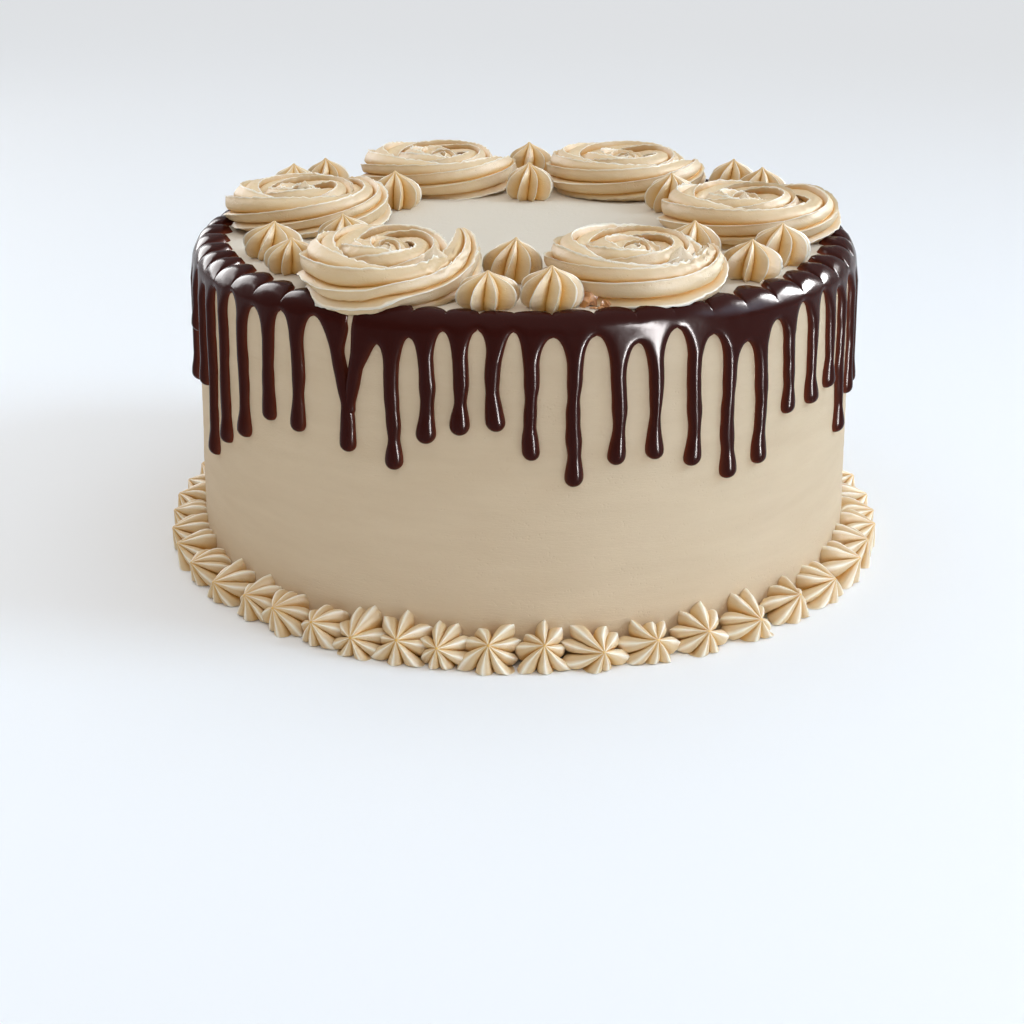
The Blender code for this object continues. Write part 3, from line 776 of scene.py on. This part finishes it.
def ribbedRope(number, rng, path, heading, size, twist):
    # the rope's surface and its groove mask
    ribs, tall = rosettes["ribs"], rosettes["height"]
    columns, rib = ribColumns(rng, ribs, np.array(rosettes["bladeSpots"]), rosettes["unevenRibs"])
    groove = np.tile(rosettes["bladeCut"], ribs)
    depth = rosettes["ribDepth"] * (1.0 + 0.18 * rng.uniform(-1.0, 1.0, ribs))[rib]
    swell = 1.0 + 0.06 * rng.uniform(-1.0, 0.6, ribs)[rib]
    spin = columns[None, :] - twist * heading[:, None] + rng.uniform(0.0, 1.0)
    spin = spin + 0.12 * np.sin(1.3 * heading + rng.uniform(0.0, 6.0))[:, None]
    out = size[:, None] * (1.07 * swell - depth * groove)
    # the foot of the rope spreads on the cake
    spread = 1.02 + 0.26 * np.clip(-np.cos(spin), 0.0, 1.0) * np.clip(np.sin(spin), 0.0, 1.0) ** 0.5
    outward = np.stack([np.sin(heading), -np.cos(heading), 0.0 * heading], 1)
    points = path[:, None, :] + out[..., None] * (
        np.cos(spin)[..., None] * np.array([0.0, 0.0, 1.02])
        + (spread * np.sin(spin))[..., None] * outward[:, None, :]
    )
    # the cream tears towards the tail on the front right, and its lips are a little ragged
    torn = np.clip((points[..., 0] - 4.0) / 12.0, 0.0, 1.0) * np.clip((4.0 - points[..., 1]) / 10.0, 0.0, 1.0)
    torn = torn * np.clip((points[..., 2] - 5.0) / 5.0, 0.0, 1.0)
    torn = torn * (1.0 if number in rosettes["front"] else 0.3)
    lip = (1.0 - np.clip(groove / 0.2, 0.0, 1.0))[None, :]
    ragged = (0.20 + 0.30 * lip) * noiseAt(points, 0.6, number, 3)
    ragged = ragged + 1.2 * torn * noiseAt(points, 0.7, number + 9, 3)
    points = points + ragged[..., None] * (points - path[:, None, :]) / (out[..., None] + 0.01)
    points[..., 2] = np.clip(points[..., 2], -0.3, tall - 0.12)
    return points, np.broadcast_to(groove, out.shape)


def rosette(number, radiusOnCake, angle, halfWidth, halfDepth, ending, pull, stretch, twist):
    rng = np.random.default_rng(3 + 2 * (number - 1))
    tall = rosettes["height"]
    path, heading, size = ropePath(number, rng, halfWidth, halfDepth, ending, pull, stretch)
    rope, groove = ribbedRope(number, rng, path, heading, size, twist)
    moundWidth, moundFoot, moundBelow = rosettes["mound"]
    extras = [startMound(path[0, 0], path[0, 1], moundWidth, moundFoot, tall - moundBelow, number)]
    if number in rosettes["peaks"]:
        extras.append(tornPeak(*rosettes["peaks"][number], rosettes["peakFoot"], tall - 0.15))
    shells = [(rope, closedFaces(*groove.shape), groove)]
    shells += [(extra, closedFaces(*extra.shape[:2]), np.full(extra.shape[:2], 0.10)) for extra in extras]
    points, faces, shade = joinShells(shells)
    points = points + polar(radiusOnCake, angle, cake["height"])
    # past the flat top it sinks a little over the rounded edge
    beyond = np.hypot(points[:, 0], points[:, 1]) - (cake["radius"] - cake["taper"] - cake["edge"])
    drop = cake["edge"] * (1.0 - np.sqrt(1.0 - np.clip(beyond / cake["edge"], 0.0, 0.85) ** 2))
    points[:, 2] -= drop * np.clip(1.0 - (points[:, 2] - cake["height"]) / tall, 0.0, 1.0)
    return meshPiece(
        "pipedRosette%d" % number, points * mm, faces, pipedCream,
        "rosette_%d" % number, masks={"groove": shade},
    )


for number, place in enumerate(rosettes["places"], 1):
    rosette(number, *place)
print("rosettes ready")


# piped kisses and stars

petals = {
    # mesh lines across one petal, close together at its spine and in the cuts beside it
    "spots": (0.0, 0.025, 0.07, 0.15, 0.27, 0.40, 0.47, 0.50, 0.53, 0.60, 0.73, 0.85, 0.93, 0.975),
    "unevenRibs": 0.2,
    "heights": (0.0, 0.35, 0.75, 1.0),  # where ribDepth and sharp hold
    "wobble": (0.10, 0.35),  # how far, and its scale
}


def pipedDrop(rng, shape, radius, length, number):
    # one squeeze from a star tip: petals round an axis, pulled up to a small peak
    h = np.linspace(0.0, 1.0, shape["rows"])
    wide = np.interp(h, *shape["profile"])
    wide = np.convolve(np.pad(wide, 1, mode="edge"), [0.25, 0.5, 0.25], "valid")
    ribs = shape["ribs"]
    spots = np.array(petals["spots"])
    columns, rib = ribColumns(rng, ribs, spots, petals["unevenRibs"])
    # 0 on the spine of a petal, 1 in the narrow cut beside it
    fromSpine = np.abs(2.0 * np.tile(spots, ribs) - 1.0)
    sharp = np.interp(h, petals["heights"], shape["sharp"])[:, None]
    groove = sharp * fromSpine[None, :] ** shape["bow"] + (1.0 - sharp) * fromSpine[None, :] ** 7.0
    depth = np.interp(h, petals["heights"], shape["ribDepth"])
    petal = 1.0 + shape["uneven"] * rng.uniform(-1.0, 1.0, ribs)[rib]
    twist = rng.uniform(*shape["twist"])
    hook = shape["hook"] * rng.uniform(-1.0, 1.0, ribs)[rib]
    spin = columns[None, :] + twist * h[:, None] + rng.uniform(0.0, 0.8)
    spin = spin + hook[None, :] * (1.0 - groove) * (1.0 - h[:, None])
    bulge = 1.0 + (petal - 1.0)[None, :] * (1.0 - groove)
    out = radius * wide[:, None] * bulge * (1.0 - depth[:, None] * groove)
    lean = rng.uniform(-1.0, 1.0, 2) * shape["lean"]
    side = out * np.cos(spin) + lean[0] * h[:, None] ** 3
    rise = out * np.sin(spin) + lean[1] * h[:, None] ** 3
    axis = length * h[:, None] + 0.0 * out
    points = np.stack([side, rise, axis], -1)
    wobble, scale = petals["wobble"]
    push = wobble * noiseAt(points, scale, number, 2)[..., None] * np.array([1.0, 1.0, 0.0])
    return points + push, groove


kisses = {
    # place on the cake (radius, angle), own radius, height
    "places": [
        (97.2, -96.1, 9.9, 10.7), (97.8, -85.4, 9.8, 12.6), (66.1, -92.9, 9.6, 13.3),
        (93.7, -42.0, 9.6, 12.2), (92.2, -28.8, 9.9, 13.1), (67.3, -36.5, 9.4, 12.6),
        (98.0, 38.0, 9.4, 13.4), (98.0, 27.4, 9.5, 13.3), (62.0, 31.9, 9.4, 13.6),
        (97.0, 88.5, 9.6, 12.8), (52.5, 87.6, 9.4, 13.3), (98.0, 149.5, 9.6, 13.2),
        (98.0, 138.7, 9.5, 12.6), (59.3, 140.8, 9.6, 13.0), (89.0, -155.4, 9.9, 11.4),
        (90.8, -142.4, 9.6, 10.6), (64.8, -153.4, 9.6, 12.2),
    ],
    "rows": 28,
    "ribs": 8,
    "profile": (
        (0.0, 0.12, 0.30, 0.48, 0.62, 0.74, 0.83, 0.90, 0.95, 1.0),
        (0.72, 0.92, 1.0, 0.97, 0.87, 0.67, 0.42, 0.20, 0.10, 0.02),
    ),
    "ribDepth": (0.46, 0.54, 0.62, 0.25),
    "sharp": (0.90, 0.86, 0.70, 0.8),
    "bow": 0.60,  # below 1 the valleys between the crests are broad
    "uneven": 0.06,
    "hook": 0.10,
    "twist": (0.1, 0.6),
    "lean": 1.0,
}


def kiss(number, radiusOnCake, angle, radius, height):
    rng = np.random.default_rng(60 + number)
    points, groove = pipedDrop(rng, kisses, radius, height, number)
    points = points.reshape(-1, 3) + polar(radiusOnCake, angle, cake["height"])
    return meshPiece(
        "pipedKiss%02d" % number, points * mm, closedFaces(*groove.shape), pipedCream,
        "kiss_%02d" % number, masks={"groove": groove.ravel()},
    )


for number, place in enumerate(kisses["places"], 1):
    kiss(number, *place)
print("kisses ready")


# border of stars

border = {
    "front": [
        -151.1, -142.8, -134.8, -128.2, -121.1, -114.4, -107.9, -101.5, -94.9,
        -87.4, -79.4, -71.6, -63.0, -54.3, -45.0, -35.9, -27.2,
    ],
    "others": 32,
    "radius": 9.7,
    "length": 13.4,
    "tilt": (32.0, 40.0),  # degrees above the floor
    "spreadBelow": 0.4,  # petals that reach lower spread on the floor
    "reachLimit": (11.0, 2.3),  # past the first the petals press flat, by the second at most
    "pressedInto": 0.6,  # how far a star presses into the cake's side
    "perPiece": 7,
    "rows": 24,
    "ribs": 8,
    "profile": (
        (0.0, 0.16, 0.34, 0.50, 0.66, 0.80, 0.90, 0.96, 1.0),
        (0.60, 0.90, 1.0, 0.95, 0.76, 0.49, 0.26, 0.12, 0.03),
    ),
    "ribDepth": (0.44, 0.52, 0.66, 0.30),
    "sharp": (0.48, 0.42, 0.34, 0.8),
    "bow": 0.90,
    "uneven": 0.20,
    "hook": 0.38,
    "twist": (-0.2, 0.3),
    "lean": 1.1,
}


def starPoints(angle, number):
    rng = np.random.default_rng(200 + number)
    radius = border["radius"] * rng.uniform(0.93, 1.06)
    length = border["length"] * rng.uniform(0.94, 1.05)
    points, groove = pipedDrop(rng, border, radius, length, number)
    side, rise, axis = points[..., 0], points[..., 1] * 0.98, points[..., 2] + 0.5
    tilt = math.radians(rng.uniform(*border["tilt"]))
    outward = axis * math.cos(tilt) - rise * math.sin(tilt)
    up = axis * math.sin(tilt) + rise * math.cos(tilt)
    low = border["spreadBelow"]
    up = np.where(up < low, low * np.exp((up - low) / 2.5), up)
    far, more = border["reachLimit"]
    outward = np.where(outward > far, far + more * np.tanh((outward - far) / more), outward)
    outward = np.maximum(outward, -border["pressedInto"])
    reach = cake["radius"] + outward
    around = math.radians(angle) + side / (cake["radius"] + 8.0)
    return np.stack([reach * np.cos(around), reach * np.sin(around), up], -1), groove


def starBorder():
    rng = np.random.default_rng(8)
    angles = list(border["front"])
    first = angles[0] + 360.0
    last = angles[-1]
    pitch = (first - last) / (border["others"] + 1)
    for i in range(border["others"]):
        angles.append(last + pitch * (i + 1) + rng.uniform(-0.25, 0.25))
    perPiece = border["perPiece"]
    for group in range(0, len(angles), perPiece):
        stars = []
        for number in range(group, min(group + perPiece, len(angles))):
            points, groove = starPoints(angles[number], number)
            stars.append((points, closedFaces(*groove.shape), groove))
        points, faces, grooves = joinShells(stars)
        meshPiece(
            "starBorder%d" % (group // perPiece + 1), points * mm, faces, pipedCream,
            "star_border", masks={"groove": grooves},
        )


starBorder()
print("border ready")


# toffee bits by the front right rosette

toffeeBits = {
    # place on the cake's top in mm, size, and how tall
    "pieces": [
        (18.6, -94.2, 3.1, 4.0), (23.4, -97.0, 1.9, 2.2), (65.0, -50.5, 2.6, 2.4),
        (69.5, -47.5, 2.0, 1.8), (61.0, -53.5, 1.5, 1.4),
    ],
    "crumbs": 11,
    "crumbsFrom": (19.5, -98.4),
    "crumbsTo": (30.0, -100.6),
    "crumbSize": (0.35, 0.8),
    "crumbTall": (0.5, 0.9),
    "rough": 0.6,
}


def toffeeBit(x, y, size, tall, seed):
    # a broken crumb with flat faces, sitting on the cake's top
    work = bmesh.new()
    bmesh.ops.create_icosphere(work, subdivisions=2, radius=1.0)
    wide, deep = size * np.random.default_rng(seed).uniform(0.75, 1.1, 2)
    points = []
    for vertex in work.verts:
        rough = noise.fractal(vertex.co * 1.3 + Vector((seed, 0.0, 0.0)), 0.7, 2.0, 3)
        place = vertex.co * (1.0 + toffeeBits["rough"] * rough)
        flat = min(max(place.z, -0.7), 0.7)
        points.append((x + place.x * wide, y + place.y * deep, cake["height"] + tall * (0.45 + 0.75 * flat)))
    faces = [tuple(vertex.index for vertex in face.verts) for face in work.faces]
    work.free()
    return np.array(points), faces, np.zeros(len(points))


def scatteredToffee():
    rng = np.random.default_rng(4)
    bits = [(*piece, number) for number, piece in enumerate(toffeeBits["pieces"], 1)]
    (startX, startY), (endX, endY) = toffeeBits["crumbsFrom"], toffeeBits["crumbsTo"]
    for number in range(toffeeBits["crumbs"]):
        share = number / toffeeBits["crumbs"]
        x = startX + (endX - startX) * share + rng.uniform(-0.6, 0.6)
        y = startY + (endY - startY) * share + rng.uniform(-0.6, 0.6)
        size = rng.uniform(*toffeeBits["crumbSize"])
        tall = rng.uniform(*toffeeBits["crumbTall"])
        bits.append((x, y, size, tall, 10 + number))
    points, faces, unused = joinShells([toffeeBit(*bit) for bit in bits])
    meshPiece("toffeeBits", points * mm, faces, toffee, smooth=False)


scatteredToffee()
print("toffee ready")


# floor, light and camera

studio = {
    "floor": (0.94, 0.95, 0.955),
    "floorHalf": 8.0,  # metres
    "floorRoughness": 0.7,
    "floorGloss": 0.05,
    # the air is bright overhead and dim near the horizon
    "airHigh": (0.97, 0.985, 1.0),
    "airLow": (0.27, 0.27, 0.28),
    "airBetween": (0.45, 0.95),
    "airStrength": 1.29,
    # place, size, power, and what else each light has
    "lights": {
        "windowRight": (
            (2.15, -0.25, 1.30), (1.0, 1.3), 2.4,
            {"colour": (0.73, 0.965, 1.25), "spread": 48.0},
        ),
        # bright panes that only show as highlights on what shines
        "windowGlint": ((1.00, 0.30, 0.62), (0.34, 0.45), 84.0, {"onlyGlossy": True}),
        "stripGlint": (
            (0.225, -0.30, 0.16), (0.035, 0.32), 11.0,
            {"aim": (0.0, -0.06, 0.16), "onlyGlossy": True},
        ),
        "leftGlint": ((-0.85, 0.75, 0.62), (0.80, 0.90), 36.0, {"onlyGlossy": True}),
    },
}


def stageFloor():
    half = studio["floorHalf"]
    mesh = bpy.data.meshes.new("floor")
    corners = [(-half, -half, 0.0), (half, -half, 0.0), (half, half, 0.0), (-half, half, 0.0)]
    mesh.from_pydata(corners, [], [(0, 1, 2, 3)])
    made, tree, shader = newMaterial("paleFloor")
    shader.inputs["Base Color"].default_value = (*studio["floor"], 1.0)
    shader.inputs["Roughness"].default_value = studio["floorRoughness"]
    shader.inputs["Specular IOR Level"].default_value = studio["floorGloss"]
    mesh.materials.append(made)
    floor = bpy.data.objects.new("floor", mesh)
    bpy.context.scene.collection.objects.link(floor)


def areaLight(
    name, place, size, power,
    colour=(1.0, 1.0, 1.0), aim=(0.0, 0.0, 0.06), onlyGlossy=False, spread=180.0,
):
    lamp = bpy.data.lights.new(name, "AREA")
    lamp.energy = power
    lamp.shape = "RECTANGLE"
    lamp.size, lamp.size_y = size
    lamp.color = colour
    lamp.spread = math.radians(spread)
    holder = bpy.data.objects.new(name, lamp)
    holder.location = place
    holder.rotation_euler = (Vector(aim) - Vector(place)).to_track_quat("-Z", "Y").to_euler()
    holder.visible_camera = False
    holder.visible_diffuse = not onlyGlossy
    bpy.context.scene.collection.objects.link(holder)


def studioLight():
    world = bpy.data.worlds.new("air")
    world.use_nodes = True
    tree = world.node_tree
    background = tree.nodes["Background"]
    background.inputs["Strength"].default_value = studio["airStrength"]
    place = addNode(tree, "ShaderNodeTexCoord")
    split = addNode(tree, "ShaderNodeSeparateXYZ")
    tree.links.new(place.outputs["Generated"], split.inputs["Vector"])
    share = remap(tree, split.outputs["Z"], studio["airBetween"], kind="SMOOTHSTEP")
    tree.links.new(mixColours(tree, share, studio["airLow"], studio["airHigh"]), background.inputs["Color"])
    bpy.context.scene.world = world
    for name, (place, size, power, more) in studio["lights"].items():
        areaLight(name, place, size, power, **more)


view = {
    "distance": 0.5861,  # metres
    "height": 0.2414,
    "down": 17.31,  # degrees
    "left": 0.40,
    "lens": 61.82,
    "shift": -0.15,  # as in the photograph, upright lines stay nearly parallel
}


def camera():
    lens = bpy.data.cameras.new("camera")
    lens.sensor_width = 36.0
    lens.lens = view["lens"]
    lens.shift_y = view["shift"]
    lens.clip_start = 0.01
    holder = bpy.data.objects.new("camera", lens)
    holder.location = (0.0, -view["distance"], view["height"])
    holder.rotation_euler = (math.radians(90.0 - view["down"]), 0.0, math.radians(view["left"]))
    bpy.context.scene.collection.objects.link(holder)
    bpy.context.scene.camera = holder


stageFloor()
studioLight()
camera()
bpy.context.scene.view_settings.view_transform = "Standard"
print("studio ready")
